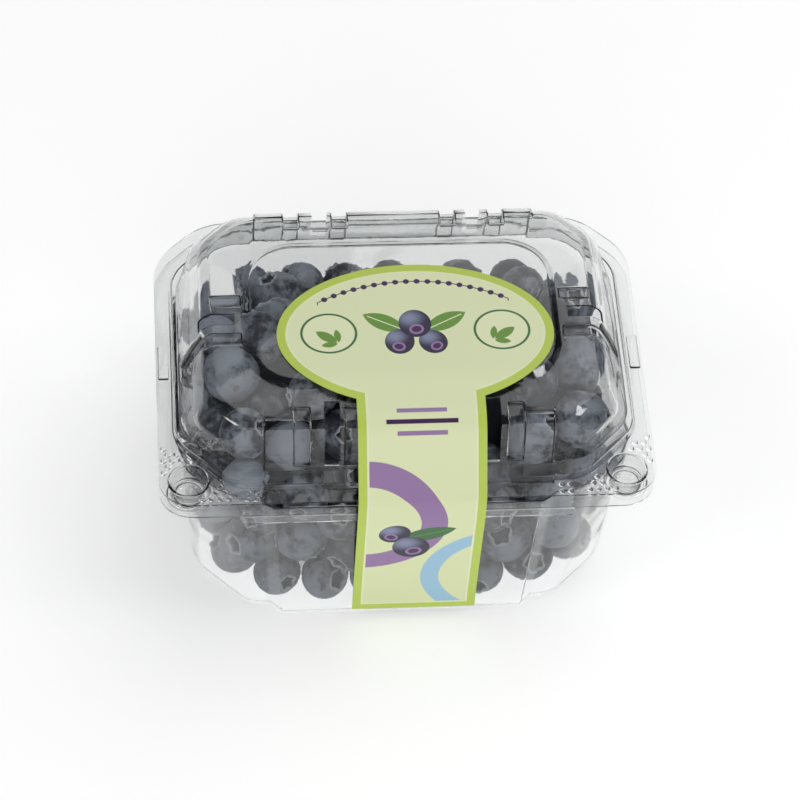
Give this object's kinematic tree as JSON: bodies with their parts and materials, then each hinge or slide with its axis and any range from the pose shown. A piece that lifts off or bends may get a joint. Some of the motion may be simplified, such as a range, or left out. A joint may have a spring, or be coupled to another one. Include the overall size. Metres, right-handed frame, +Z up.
{
  "type": "punnet of blueberries",
  "caption": "Clear formed clamshell punnet filled with loose blueberries, shut and sealed by one label over the lid and down the front.",
  "frame": {"origin": "middle of the base, on the surface that the punnet stands on", "axes": "+Z up, +X to the right seen from the front, the label and the press studs at -Y, the hinge fold at +Y"},
  "size_m": [0.12, 0.0916, 0.0705],
  "materials": {
    "clear_sheet": "clear thermoformed sheet, glossy",
    "blueberry_skin": "dark blue skin under a pale waxy bloom",
    "label_paper": "satin printed label stock"
  },
  "bodies": {
    "root": {"tray": "clear_sheet", "lid": "clear_sheet", "blueberries": "blueberry_skin", "label": "label_paper"}
  },
  "joints": []
}
